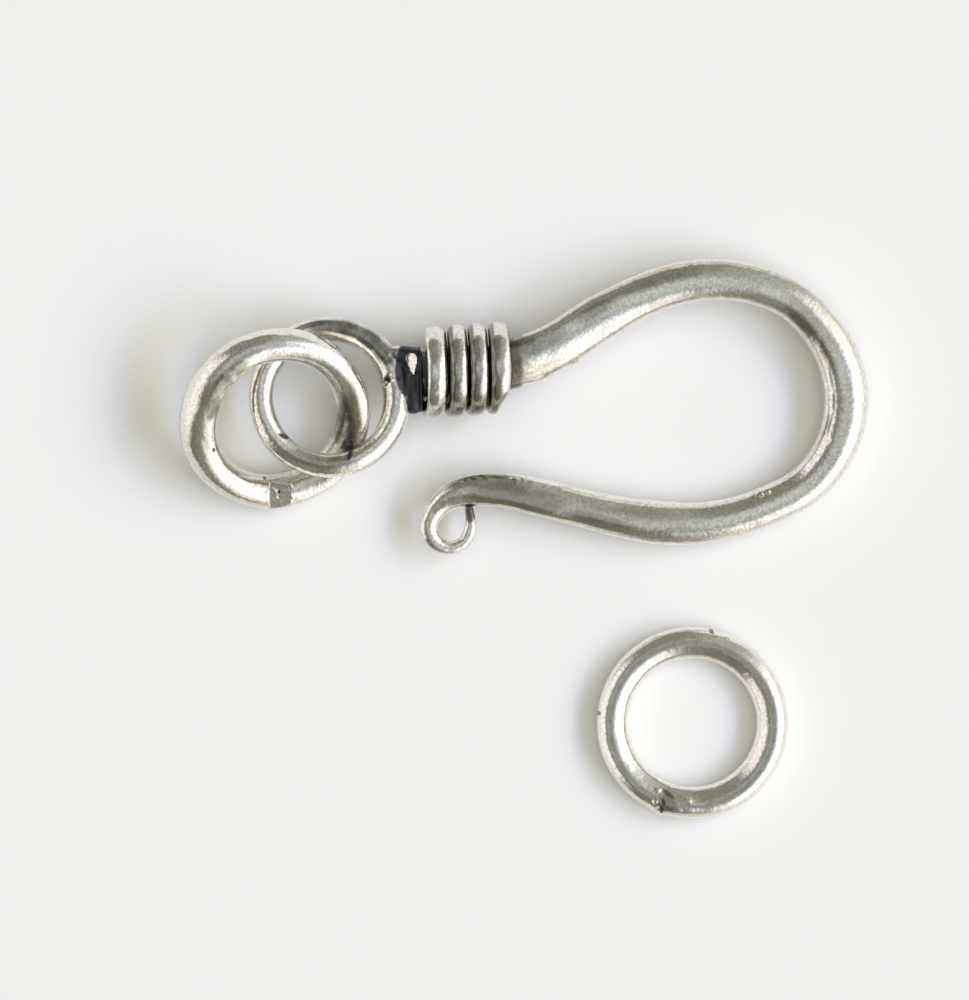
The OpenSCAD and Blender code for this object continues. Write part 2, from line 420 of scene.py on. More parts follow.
# Soft edges of the painted shade by facing: half their width in degrees of way and of tilt, and all of
# it in mm X and Y
WAY_FADE = 20
TILT_FADE = 5
PAINTED_SHADE_FADE = (0.6, 1.5)

# Colours of the silver
CLEAN = (0.955, 0.92, 0.862, 1)
FILMED = (0.57, 0.535, 0.46, 1)
BROWN = (0.50, 0.42, 0.33, 1)
# Dark colour of tarnish and of painted shade
TARNISH_AND_SHADE = (0.18, 0.175, 0.145, 1)
BLACK = (0.080, 0.078, 0.088, 1)
# Its unevenness, by size: lumps to the mm, and how much finer detail they have
BROAD = (0.7, 3.0)
MOTTLE = (3.2, 5.0)
SPECKLE = (8.0, 4.0)
GRAIN = (9.0, 3.0)
# How much the marks of drawing are drawn out: along the wire and across it
DRAWN_OUT = (0.35, 4.5, 4.5)

# Soft-edged cards round the room: the way of the middle, half the width and half the soft edge
WINDOW_LIGHT = (-3.0, 39.0, 10.0)
LEFT_LIGHT = (180.0, 90.0, 50.0)
WINDOW_GLARE = (-16.0, 55.0, 18.0)
DARK_CORNER = (-130.0, 16.0, 12.0)
PALE_CORNER = (58.0, 24.0, 14.0)
PALE_WALL = (178.0, 42.0, 9.0)
# Light that falls on the table
BLUE_PANE = (6.10, 6.56, 10.6, 1)
YELLOW_PANE = (5.50, 4.98, 1.31, 1)
OVERHEAD = (1.53, 1.505, 1.31, 1)
TAN_HIGH = (0.765, 0.752, 0.650, 1)
TAN_LOW = (0.365, 0.358, 0.305, 1)
TAN_LEFT = (0.21, 0.206, 0.178, 1)
# Light that the metal mirrors
ROOM_SIDES = (0.245, 0.242, 0.196, 1)
IN_DARK_CORNER = (0.185, 0.180, 0.145, 1)
IN_PALE_CORNER = (0.43, 0.44, 0.41, 1)
CEILING = (0.57, 0.59, 0.59, 1)
WALL_HIGH = (0.82, 0.77, 0.70, 1)
WALL_LOW = (1.02, 0.985, 0.97, 1)
GLARE_HIGH = (1.38, 1.48, 1.66, 1)
GLARE_LOW = (1.52, 1.48, 1.40, 1)


def smooth_step(value, low, high):
    """0 below low, 1 above high, and a soft rise between them."""
    t = np.clip((value - low) / (high - low), 0.0, 1.0)
    return t * t * (3 - 2 * t)


def smooth_rows(rows, count):
    """A table of rows as count rows, evenly spaced on one smooth line through them."""
    rows = np.array(rows)
    runs = np.linalg.norm(np.diff(rows[:, :GIRTH], axis=0), axis=1)
    steps = np.diff(rows, axis=0) / runs[:, None]
    slopes = np.empty_like(rows)
    slopes[0], slopes[-1] = steps[0], steps[-1]
    back, ahead = runs[:-1, None], runs[1:, None]
    slopes[1:-1] = (steps[:-1] * ahead + steps[1:] * back) / (back + ahead)
    t = np.linspace(0, 1, 40, endpoint=False)[:, None]
    line = [
        (2 * t**3 - 3 * t**2 + 1) * rows[i]
        + (t**3 - 2 * t**2 + t) * slopes[i] * runs[i]
        + (3 * t**2 - 2 * t**3) * rows[i + 1]
        + (t**3 - t**2) * slopes[i + 1] * runs[i]
        for i in range(len(rows) - 1)
    ]
    line = np.vstack([*line, rows[-1:]])
    run = run_along(line[:, :GIRTH])
    even = np.linspace(0, run[-1], count)
    return np.column_stack([np.interp(even, run, column) for column in line.T])


def run_along(line):
    """Distance along a line of points from its start."""
    return np.r_[0, np.cumsum(np.linalg.norm(np.diff(line, axis=0), axis=1))]


def hook_points(rows):
    """Points in space of rows measured from the middle of the coil."""
    along, across = rows[:, ALONG], rows[:, ACROSS]
    height = NECK_HEIGHT - HOOK_DIP * along + HOOK_ROLL * across
    return np.column_stack([COIL_AT[0] + along, COIL_AT[1] + across, height])


def turned(points, axis, degrees):
    """Points turned about the axis through the origin: 0 for X, 1 for Y and 2 for Z."""
    c, s = math.cos(math.radians(degrees)), math.sin(math.radians(degrees))
    a, b = (axis + 1) % 3, (axis + 2) % 3
    out = points.copy()
    out[:, a] = c * points[:, a] - s * points[:, b]
    out[:, b] = s * points[:, a] + c * points[:, b]
    return out


# Nodes, for shapes, materials and the room alike


def add_node(tree, kind, **settings):
    node = tree.nodes.new(kind)
    for name, value in settings.items():
        setattr(node, name, value)
    return node


def feed(tree, socket, value):
    """Sets a socket to a number or colour, or links it to another socket."""
    if isinstance(value, bpy.types.NodeSocket):
        tree.links.new(value, socket)
    else:
        socket.default_value = value


def maths(tree, operation, *values):
    node = add_node(tree, "ShaderNodeMath", operation=operation)
    for socket, value in zip(node.inputs, values):
        feed(tree, socket, value)
    return node.outputs[0]


def vector_maths(tree, operation, *values):
    node = add_node(tree, "ShaderNodeVectorMath", operation=operation)
    for socket, value in zip(node.inputs, values):
        feed(tree, socket, value)
    return node.outputs[0]


def scaled(tree, vector, scale):
    node = add_node(tree, "ShaderNodeVectorMath", operation="SCALE")
    feed(tree, node.inputs["Vector"], vector)
    feed(tree, node.inputs["Scale"], scale)
    return node.outputs[0]


def ramp(tree, value, low, high, start=0.0, end=1.0):
    """Soft change from start to end as value goes from low to high."""
    node = add_node(tree, "ShaderNodeMapRange", interpolation_type="SMOOTHSTEP")
    given = {"Value": value, "From Min": low, "From Max": high, "To Min": start, "To Max": end}
    for name, number in given.items():
        feed(tree, node.inputs[name], number)
    return node.outputs[0]


def blend(tree, share, first, second):
    """Colour that goes from first to second with share."""
    node = add_node(tree, "ShaderNodeMix", data_type="RGBA")
    colours = [s for s in node.inputs if s.type == "RGBA"]
    feed(tree, node.inputs["Factor"], share)
    feed(tree, colours[0], first)
    feed(tree, colours[1], second)
    return next(s for s in node.outputs if s.type == "RGBA")


def noise(tree, vector, scale, detail, seed):
    node = add_node(tree, "ShaderNodeTexNoise", noise_dimensions="4D")
    feed(tree, node.inputs["Vector"], vector)
    feed(tree, node.inputs["Scale"], scale)
    feed(tree, node.inputs["Detail"], detail)
    feed(tree, node.inputs["W"], seed)
    return node.outputs[0]


def new_group(name, kind, inputs, outputs):
    """A node group with named sockets, and its nodes for what goes in and what comes out."""
    tree = bpy.data.node_groups.new(name, kind)
    for side, sockets in (("INPUT", inputs), ("OUTPUT", outputs)):
        for socket, socket_type in sockets:
            tree.interface.new_socket(socket, in_out=side, socket_type="NodeSocket" + socket_type)
    return tree, add_node(tree, "NodeGroupInput").outputs, add_node(tree, "NodeGroupOutput").inputs


# Shapes


def wire_tree():
    """Geometry nodes that draw a wire along a line of points and forge its surface."""
    tree, given, made = new_group(
        "drawn_wire",
        "GeometryNodeTree",
        [
            ("Line", "Geometry"),
            ("Sides", "Int"),
            ("Squareness", "Float"),
            ("Width", "Float"),
            ("Blow Size", "Float"),
            ("Blow Depth", "Float"),
            ("Ripple Size", "Float"),
            ("Ripple Depth", "Float"),
            ("Seed", "Float"),
            ("Finish", "Material"),
        ],
        [("Wire", "Geometry")],
    )
    # The section: a circle, drawn out to a rounded square and narrowed
    circle = add_node(tree, "GeometryNodeCurvePrimitiveCircle")
    feed(tree, circle.inputs["Resolution"], given["Sides"])
    circle.inputs["Radius"].default_value = 1.0
    place = add_node(tree, "GeometryNodeInputPosition").outputs[0]
    apart = add_node(tree, "ShaderNodeSeparateXYZ")
    feed(tree, apart.inputs[0], place)
    powers = [
        maths(tree, "POWER", maths(tree, "ABSOLUTE", apart.outputs[axis]), given["Squareness"])
        for axis in (0, 1)
    ]
    total = maths(tree, "ADD", *powers)
    reach = maths(tree, "POWER", total, maths(tree, "DIVIDE", -1.0, given["Squareness"]))
    section = add_node(tree, "GeometryNodeSetPosition")
    feed(tree, section.inputs["Geometry"], circle.outputs["Curve"])
    wide = add_node(tree, "ShaderNodeCombineXYZ")
    feed(tree, wide.inputs["X"], 1.0)
    feed(tree, wide.inputs["Y"], given["Width"])
    narrowed = vector_maths(tree, "MULTIPLY", scaled(tree, place, reach), wide.outputs[0])
    feed(tree, section.inputs["Position"], narrowed)

    # The wire: the section swept along the line
    line = add_node(tree, "GeometryNodeMeshToCurve")
    feed(tree, line.inputs["Mesh"], given["Line"])
    upright = add_node(tree, "GeometryNodeSetCurveNormal", mode="Z_UP")
    feed(tree, upright.inputs["Curve"], line.outputs["Curve"])
    radius = add_node(tree, "GeometryNodeInputNamedAttribute", data_type="FLOAT")
    radius.inputs["Name"].default_value = "wire_radius"
    sweep = add_node(tree, "GeometryNodeCurveToMesh")
    feed(tree, sweep.inputs["Curve"], upright.outputs["Curve"])
    feed(tree, sweep.inputs["Profile Curve"], section.outputs["Geometry"])
    feed(tree, sweep.inputs["Scale"], radius.outputs["Attribute"])
    sweep.inputs["Fill Caps"].default_value = True

    # The forging: broad blows and small ripples, pressed in or raised
    depth = 0.0
    for layer, detail in (("Blow", 1.0), ("Ripple", 2.0)):
        fine = maths(tree, "DIVIDE", 1.0, given[layer + " Size"])
        lumps = noise(tree, place, fine, detail, given["Seed"])
        swing = maths(tree, "MULTIPLY", maths(tree, "SUBTRACT", lumps, 0.5), given[layer + " Depth"])
        depth = maths(tree, "ADD", swing, depth)
    facing = add_node(tree, "GeometryNodeInputNormal").outputs[0]
    forged = add_node(tree, "GeometryNodeSetPosition")
    feed(tree, forged.inputs["Geometry"], sweep.outputs["Mesh"])
    feed(tree, forged.inputs["Offset"], scaled(tree, facing, depth))
    real = add_node(tree, "GeometryNodeRealizeInstances")
    feed(tree, real.inputs["Geometry"], forged.outputs["Geometry"])
    finish = add_node(tree, "GeometryNodeSetMaterial")
    feed(tree, finish.inputs["Geometry"], real.outputs["Geometry"])
    feed(tree, finish.inputs["Material"], given["Finish"])
    feed(tree, made["Wire"], finish.outputs["Geometry"])
    return tree


def plain_object(name, mesh):
    made = bpy.data.objects.new(name, mesh)
    bpy.context.scene.collection.objects.link(made)
    return made


def settled(made):
    """The object with what its modifiers do made part of its mesh, and the modifiers gone."""
    depsgraph = bpy.context.evaluated_depsgraph_get()
    mesh = bpy.data.meshes.new_from_object(made.evaluated_get(depsgraph), depsgraph=depsgraph)
    made.modifiers.clear()
    old, made.data = made.data, mesh
    mesh.name = made.name
    bpy.data.meshes.remove(old)
    return made


def drawn_wire(
    name, line, wires, fineness, finish, forging, seed, section=ROUND_SECTION, closed=False
):
    """A wire of the given thicknesses along a line, in mm, as a mesh in metres."""
    count = len(line)
    edges = [(i, i + 1) for i in range(count - 1)] + ([(count - 1, 0)] if closed else [])
    mesh = bpy.data.meshes.new(name)
    mesh.from_pydata((line * MM).tolist(), edges, [])
    radius = mesh.attributes.new("wire_radius", "FLOAT", "POINT")
    radii = np.broadcast_to(np.asarray(wires) / 2 * MM, count)
    radius.data.foreach_set("value", radii.astype(np.float32))
    made = plain_object(name, mesh)
    modifier = made.modifiers.new("drawn wire", "NODES")
    modifier.node_group = WIRE_TREE
    blow_size, blow_depth, ripple_size, ripple_depth = (value * MM for value in forging)
    values = {
        "Sides": fineness[1],
        "Squareness": section[0],
        "Width": section[1],
        "Blow Size": blow_size,
        "Blow Depth": blow_depth,
        "Ripple Size": ripple_size,
        "Ripple Depth": ripple_depth,
        "Seed": seed,
        "Finish": finish,
    }
    for item in WIRE_TREE.interface.items_tree:
        if item.in_out == "INPUT" and item.name in values:
            modifier[item.identifier] = values[item.name]
    return settled(made)


def read_vectors(items, name):
    values = np.empty(len(items) * 3, np.float32)
    items.foreach_get(name, values)
    return values.reshape(-1, 3).astype(float)


def read_points(made):
    """The places of a piece's vertices, in mm."""
    return read_vectors(made.data.vertices, "co") / MM


def read_normals(made):
    return read_vectors(made.data.vertex_normals, "vector")


def write_points(made, points):
    made.data.vertices.foreach_set("co", (points * MM).astype(np.float32).ravel())
    made.data.update()


def write_mark(made, name, values):
    """Stores a number or a place for each vertex, for the materials."""
    kind, field = ("FLOAT_VECTOR", "vector") if values.ndim == 2 else ("FLOAT", "value")
    mark = made.data.attributes.new(name, kind, "POINT")
    mark.data.foreach_set(field, values.astype(np.float32).ravel())


def wire_places(points, lines):
    """For each point, its mm along the nearest wire, to the left of its middle and above it."""
    middles, ways, runs, start = [], [], [], 0.0
    for line in lines:
        middles.append(line)
        ways.append(np.gradient(line, axis=0))
        runs.append(start + run_along(line))
        start = runs[-1][-1] + 10.0
    middles, ways, runs = np.vstack(middles), np.vstack(ways), np.concatenate(runs)
    ways /= np.linalg.norm(ways, axis=1)[:, None]
    lefts = np.cross([0.0, 0.0, 1.0], ways)
    lefts /= np.linalg.norm(lefts, axis=1)[:, None]
    ups = np.cross(ways, lefts)
    places = np.empty_like(points)
    # A few thousand points at a time, to spare memory
    few = 4000
    for begin in range(0, len(points), few):
        some = points[begin : begin + few]
        gaps = some[:, None, :] - middles[None, :, :]
        near = np.argmin((gaps**2).sum(2), axis=1)
        off = some - middles[near]
        along, left, up = ((off * side[near]).sum(1) for side in (ways, lefts, ups))
        places[begin : begin + few] = np.column_stack([runs[near] + along, left, up])
    return places


def leaned(points, places, lean):
    """Points of a wire whose section leans, so that its highest line lies off its middle line."""
    up, off = places[:, 2], np.hypot(places[:, 1], places[:, 2])
    out = points.copy()
    out[:, :2] += (up**2 / np.maximum(off, 0.05))[:, None] * np.array(lean)
    return out


def closeness(points, x, y, half_long, half_wide, way):
    """1 inside a soft-edged oval seen from above, and 0 outside."""
    c, s = math.cos(math.radians(way)), math.sin(math.radians(way))
    off_x, off_y = points[:, 0] - x, points[:, 1] - y
    off = np.hypot((c * off_x + s * off_y) / half_long, (c * off_y - s * off_x) / half_wide)
    return 1 - smooth_step(off, *PATCH_FADE)


def patch_strength(points, rows):
    """How strongly each point is darkened by a table of patches, stains and painted shade alike."""
    amount = np.zeros(len(points))
    for *oval, strength in rows:
        amount = np.maximum(amount, strength * closeness(points, *oval))
    return amount


def marked(points, normals, rows):
    """Points of a surface whose upper side is raised or pressed in by a table of marks."""
    height = np.zeros(len(points))
    for *oval, rise in rows:
        height += rise * closeness(points, *oval)
    return points + normals * (height * smooth_step(normals[:, 2], 0.0, 0.3))[:, None]


def faces_in(normals, way, half_arc, low, high):
    """How far each point faces one way, with a tilt from low to high."""
    facing = np.degrees(np.arctan2(normals[:, 1], normals[:, 0]))
    off = np.abs((facing - way + 180) % 360 - 180)
    tilt = np.degrees(np.arccos(np.clip(normals[:, 2], -1, 1)))
    in_arc = 1 - smooth_step(off, half_arc - WAY_FADE, half_arc + WAY_FADE)
    steep = smooth_step(tilt, low - TILT_FADE, low + TILT_FADE)
    too_steep = smooth_step(tilt, high - TILT_FADE, high + TILT_FADE)
    return in_arc * steep * (1 - too_steep)


def fused_lumps(name, tables, collar, finish):
    """Balls of metal along tables of rows and a round plate, run together into one skin."""
    lumps = []
    for rows in tables:
        rows = np.array(rows)
        for a, b in zip(rows[:-1], rows[1:]):
            for t in np.linspace(0, 1, NECK_BALLS):
                row = a + (b - a) * t
                lumps.append((row, np.full(3, row[GIRTH] / 2)))
    along, across, wide, thick = collar
    lumps.append((np.array([along, across]), np.array([thick, wide, wide]) / 2))
    ball_points, ball_faces = unit_ball(*BALL_FINENESS)
    points, faces = [], []
    for number, (row, half) in enumerate(lumps):
        points.append(ball_points * half + hook_points(row[None, :])[0])
        faces += [tuple(i + number * len(ball_points) for i in face) for face in ball_faces]
    mesh = bpy.data.meshes.new(name)
    mesh.from_pydata((np.vstack(points) * MM).tolist(), [], faces)
    made = plain_object(name, mesh)
    skin = made.modifiers.new("one skin", "REMESH")
    skin.mode = "VOXEL"
    skin.voxel_size = NECK_VOXEL * MM
    soft = made.modifiers.new("run together", "SMOOTH")
    soft.factor = 0.5
    soft.iterations = NECK_SMOOTHINGS
    settled(made)
    made.data.materials.append(finish)
    return made


def unit_ball(rings, sides):
    """Points and faces of a ball of radius 1."""
    points = [(0.0, 0.0, 1.0)]
    for i in range(1, rings):
        tilt = math.pi * i / rings
        for k in range(sides):
            turn = 2 * math.pi * k / sides
            off = math.sin(tilt)
            points.append((off * math.cos(turn), off * math.sin(turn), math.cos(tilt)))
    points.append((0.0, 0.0, -1.0))
    last = len(points) - 1
    faces = [(0, 1 + k, 1 + (k + 1) % sides) for k in range(sides)]
    for i in range(rings - 2):
        for k in range(sides):
            a, b = 1 + i * sides + k, 1 + i * sides + (k + 1) % sides
            faces.append((a, a + sides, b + sides, b))
    low = 1 + (rings - 2) * sides
    faces += [(low + k, last, low + (k + 1) % sides) for k in range(sides)]
    return np.array(points), faces


def joined_solid(made, others):
    """One closed solid of several that overlap."""
    for other in others:
        union = made.modifiers.new("union", "BOOLEAN")
        union.operation = "UNION"
        union.solver = "MANIFOLD"
        union.object = other
    settled(made)
    for other in others:
        bpy.data.objects.remove(other)
    return made


def surface_work(made, marks, black, brown, painted_shade):
    """Presses the marks into a piece, and stores where it is stained and where shade is painted on it.
    """
    points = marked(read_points(made), read_normals(made), marks)
    write_points(made, points)
    normals = read_normals(made)
    x, y = points[:, 0], points[:, 1]
    blacks, browns = patch_strength(points, black), patch_strength(points, brown)
    # Painted shade on the faces that face the given ways
    for *faces, least_x, least_y, brown_stain_and_shade, dark_stain_and_shade in painted_shade:
        there = smooth_step(x, least_x, least_x + PAINTED_SHADE_FADE[0]) * faces_in(normals, *faces)
        there *= smooth_step(y, least_y, least_y + PAINTED_SHADE_FADE[1])
        browns = np.maximum(browns, brown_stain_and_shade * there)
        blacks = np.maximum(blacks, dark_stain_and_shade * there)
    write_mark(made, DARK_STAIN_AND_SHADE, np.clip(blacks, 0, 1) * (1 - bright_drop(points)))
    write_mark(made, BROWN_STAIN_AND_SHADE, browns)


def bright_drop(points):
    """1 inside the drop-shaped bright facet on the neck, and 0 outside."""
    tip_x, top_x, tip, top, half = DROP
    up = np.clip((points[:, 1] - tip) / (top - tip), 0, 1)
    # Pointed at the tip and rounded at the top
    across = half * 1.25 * up**0.8 * np.sqrt(1 - up**6)
    inside = np.abs(points[:, 0] - tip_x - (top_x - tip_x) * up) < across
    return (inside & (points[:, 2] > NECK_HEIGHT)).astype(float)


def finished(made, node, sharp_angle=40.0):
    """Smooth shading with sharp creases, and the piece takes its solid's place."""
    made.data.shade_smooth()
    made.data.set_sharp_from_angle(angle=math.radians(sharp_angle))
    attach(made, PIECES_BODY)
    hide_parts(node)


# The hook


def eye_curve():
    """Middle line and thicknesses of the eye's wire, which swells towards its joint."""
    half_gap = EYE_GAP_ARC / 2
    middle_r = (EYE_D - EYE_WIRE) / 2
    ways = np.linspace(half_gap, 360 - half_gap, EYE_FINENESS[0]) + EYE_GAP_WAY
    turn = np.radians(ways)
    x, y = EYE_AT[0] + middle_r * np.cos(turn), EYE_AT[1] + middle_r * np.sin(turn)
    line = np.column_stack([x, y, EYE_HEIGHT - HOOK_DIP * middle_r * np.cos(turn)])
    off = np.minimum(ways - EYE_GAP_WAY, EYE_GAP_WAY + 360 - ways)
    return line, EYE_WIRE * (1 + EYE_SWELL * np.clip(1 - off / EYE_SWELL_ARC, 0, None))


def hook_lean(points):
    """How far the hook's highest line lies off its middle line at each point."""
    x, y = points[:, 0], points[:, 1]
    on_eye = smooth_step(-x, *EYE_STARTS)
    upper = smooth_step(y, *UPPER_STARTS)
    on_stem = upper * (1 - on_eye) * (1 - smooth_step(x, *STEM_ENDS))
    curling = smooth_step(-x, *CURL_STARTS)
    on_curl = (1 - upper) * (1 - on_eye) * curling
    on_taper = (1 - upper) * (1 - curling) * (1 - smooth_step(x, *TAPER_ENDS))
    lean = np.tile(ARM_LEAN, (len(points), 1))
    for share, its_lean in (
        (on_eye, EYE_LEAN),
        (on_stem, STEM_LEAN),
        (on_taper, TAPER_LEAN),
        (on_curl, CURL_LEAN),
    ):
        lean += share[:, None] * (np.array(its_lean) - ARM_LEAN)
    return lean


def make_hook(finish):
    rows = smooth_rows(HOOK_ROWS, HOOK_FINENESS[0])
    arm_line, arm_wires = hook_points(rows), rows[:, GIRTH] * HOOK_WIRE
    arm = drawn_wire(
        "hook_arm", arm_line, arm_wires, HOOK_FINENESS, finish, ARM_FORGING, 3.0, ARM_SECTION
    )
    eye_line, eye_wires = eye_curve()
    eye = drawn_wire("eye", eye_line, eye_wires, EYE_FINENESS, finish, EYE_FORGING, 5.0)
    neck = fused_lumps("neck", [NECK_ROWS, WEB_ROWS, STRAND_ROWS, EDGE_ROWS], COLLAR, finish)
    hook = joined_solid(arm, [eye, neck])
    hook.name = "forged_hook"
    points = read_points(hook)
    places = wire_places(points, [arm_line, eye_line])
    write_mark(hook, WIRE_PLACE, places)
    points = leaned(points, places, hook_lean(points))
    drop = bright_drop(points) > 0
    points[drop, 2] = DROP_HEIGHT + DROP_SLOPE * (points[drop, 0] - DROP[0])
    write_points(hook, points)
    surface_work(hook, HOOK_MARKS, HOOK_DARK_STAIN_AND_SHADE, HOOK_BROWN_STAIN_AND_SHADE, HOOK_PAINTED_SHADE)
    finished(hook, "hook")


# The coil, which is wound round Z and then laid along the neck


def coil_line():
    """Middle line of the coil's wire."""
    turns = np.linspace(-COIL_OVERRUN, COIL_BANDS - 1 + COIL_OVERRUN, COIL_FINENESS[0])
    angle = 2 * math.pi * turns
    middle_turn = (COIL_BANDS - 1) / 2
    along = COIL_PITCH * (turns - middle_turn - COIL_LAG * np.sin(angle) / (2 * math.pi))
    along += COIL_SHIFT + COIL_BOW * COIL_MIDDLE_R * np.cos(angle)
    return np.column_stack([-COIL_MIDDLE_R * np.cos(angle), COIL_MIDDLE_R * np.sin(angle), along])


def worked_coil(points, places):
    """Points of the coil with its first and last turns shaped, and how dark and how brown it is: oxide
    in its grooves, and painted shade on the left sides, the tops' left parts and the lower sides of its
    turns.
    """
    run, to_left, to_right = places[:, 0], -places[:, 2], places[:, 2]
    one_turn = 2 * math.pi * COIL_MIDDLE_R
    from_axis = np.hypot(points[:, 0], points[:, 1])
    outside, up = COIL_D / 2, points[:, 1]
    first_turn = 1 - smooth_step(run, *FIRST_TURN_ENDS)
    last_turn = smooth_step(run, *(turn * one_turn for turn in LAST_TURN_STARTS))
    cut_end = smooth_step(run, *(turn * one_turn for turn in CUT_END_STARTS))
    cut_end *= smooth_step(-up, 0.9, 1.7)

    out = points.copy()
    out[:, 2] -= COIL_FIRST_WIDER * first_turn * smooth_step(to_left, 0.0, 0.4)
    out[:, 2] -= COIL_FIRST_LEAN * first_turn * smooth_step(from_axis, outside - 0.3, outside)
    out[:, 2] += COIL_LAST_WIDER * last_turn * smooth_step(to_right, 0.0, 0.4)
    out[:, 2] -= COIL_END_CUT * cut_end * smooth_step(to_right, -0.3, 0.4)

    # The grooves between the turns are oxidised. The left side of each turn, the left part of its top
    # and its lower side get painted shade
    first_left = first_turn * smooth_step(to_left, 0.0, 0.2)
    groove = (1 - first_left) * (1 - smooth_step(from_axis, outside - 0.24, outside - 0.10))
    painted_shade_left = smooth_step(to_left, 0.10, 0.24) * (1 - first_turn)
    painted_shade_top = (1 - smooth_step(to_right, 0.0, 0.25)) * (1 - smooth_step(up, 1.15, 1.4))
    painted_shade_top *= 1 - 0.7 * first_turn
    painted_shade_below = smooth_step(-up, 0.9, 1.2) * (1 - 0.5 * first_turn)
    darkness = np.max([0.5 * groove, 0.5 * painted_shade_left, 0.3 * painted_shade_below, 0.22 * painted_shade_top], axis=0)
    return out, darkness, np.maximum(0.7 * painted_shade_below, 0.5 * painted_shade_left)


def make_coil(finish):
    line = coil_line()
    coil = drawn_wire(
        "wound_coil", line, COIL_WIRE, COIL_FINENESS, finish, COIL_FORGING, 8.0, COIL_SECTION
    )
    points = read_points(coil)
    places = wire_places(points, [line])
    points, darkness, brownness = worked_coil(points, places)
    write_mark(coil, WIRE_PLACE, places)
    write_mark(coil, DARK_STAIN_AND_SHADE, darkness)
    write_mark(coil, BROWN_STAIN_AND_SHADE, brownness)
    way = math.radians(COIL_WAY)
    slope = math.degrees(math.atan(HOOK_DIP * math.cos(way) - HOOK_ROLL * math.sin(way)))
    points = turned(turned(turned(points, 1, 90), 1, slope), 2, COIL_WAY)
    write_points(coil, points + [*COIL_AT, NECK_HEIGHT])
    finished(coil, "neck_coil")


# The rings


def ring_curve(swell):
    """Middle line and thicknesses of a ring's wire, which swells inwards on one side."""
    way, half_arc, thicker = swell
    degrees = np.linspace(0, 360, RING_FINENESS[0], endpoint=False)
    off = np.abs((degrees - way + 180) % 360 - 180)
    grown = thicker * (1 - smooth_step(off, 0.0, half_arc))
    radius = RING_MIDDLE_R - grown * RING_WIRE / 2
    turn = np.radians(degrees)
    line = np.column_stack([radius * np.cos(turn), radius * np.sin(turn), 0 * turn])
    return line, RING_WIRE * (1 + grown)


def drawn_ring(name, swell, finish, seed, section):
    """A ring of wire round the origin, its points and their places on the wire."""
    line, wires = ring_curve(swell)
    ring = drawn_wire(name, line, wires, RING_FINENESS, finish, RING_FORGING, seed, section, closed=True)
    points = read_points(ring)
    places = wire_places(points, [line])
    write_mark(ring, WIRE_PLACE, places)
    outward = points[:, :2] / np.linalg.norm(points[:, :2], axis=1)[:, None]
    return ring, leaned(points, places, RING_SPREAD * outward), places


def filed_joint(points):
    """Points of the linked ring with its joint swollen and filed to a flat."""
    x, half, swell, above = LINK_JOINT
    y, z = LINK_JOINT_MIDDLE
    inside = (np.abs(points[:, 0] - x) < half) & (points[:, 1] < y + LINK_JOINT_REACH)
    off = points[:, 1:] - np.array([y, z])
    reach = np.linalg.norm(off, axis=1)
    fat = points[:, 1:] + off * (swell / np.maximum(reach, 0.1))[:, None]
    flat = z + above + LINK_JOINT_TILT * (fat[:, 0] - y)
    out = points.copy()
    out[inside, 1] = fat[inside, 0]
    out[inside, 2] = np.minimum(fat[:, 1], flat)[inside]
    return out


def make_linked_ring(finish):
    ring, points, places = drawn_ring("linked_ring", LINK_SWELL, finish, 12.0, LINK_SECTION)
    lift = RING_HEIGHT + RING_MIDDLE_R * math.sin(math.radians(LINK_TILT))
    points = turned(turned(points, 1, -LINK_TILT), 2, LINK_RISE_WAY) + [*LINK_AT, lift]
    write_points(ring, filed_joint(leaned(points, places, LINK_LEAN)))
    surface_work(ring, LINK_MARKS, LINK_DARK_STAIN_AND_SHADE, LINK_BROWN_STAIN_AND_SHADE, LINK_PAINTED_SHADE)
    finished(ring, "link_ring")


def make_loose_ring(finish):
    ring, points, places = drawn_ring("loose_ring", NO_SWELL, finish, 17.0, ROUND_SECTION)
    points = points + [*CATCH_AT, RING_HEIGHT]
    write_points(ring, leaned(points, places, CATCH_LEAN))
    surface_work(ring, CATCH_MARKS, CATCH_BLACK, CATCH_BROWN, CATCH_PAINTED_SHADE)
    finished(ring, "catch_ring")


# Finishes


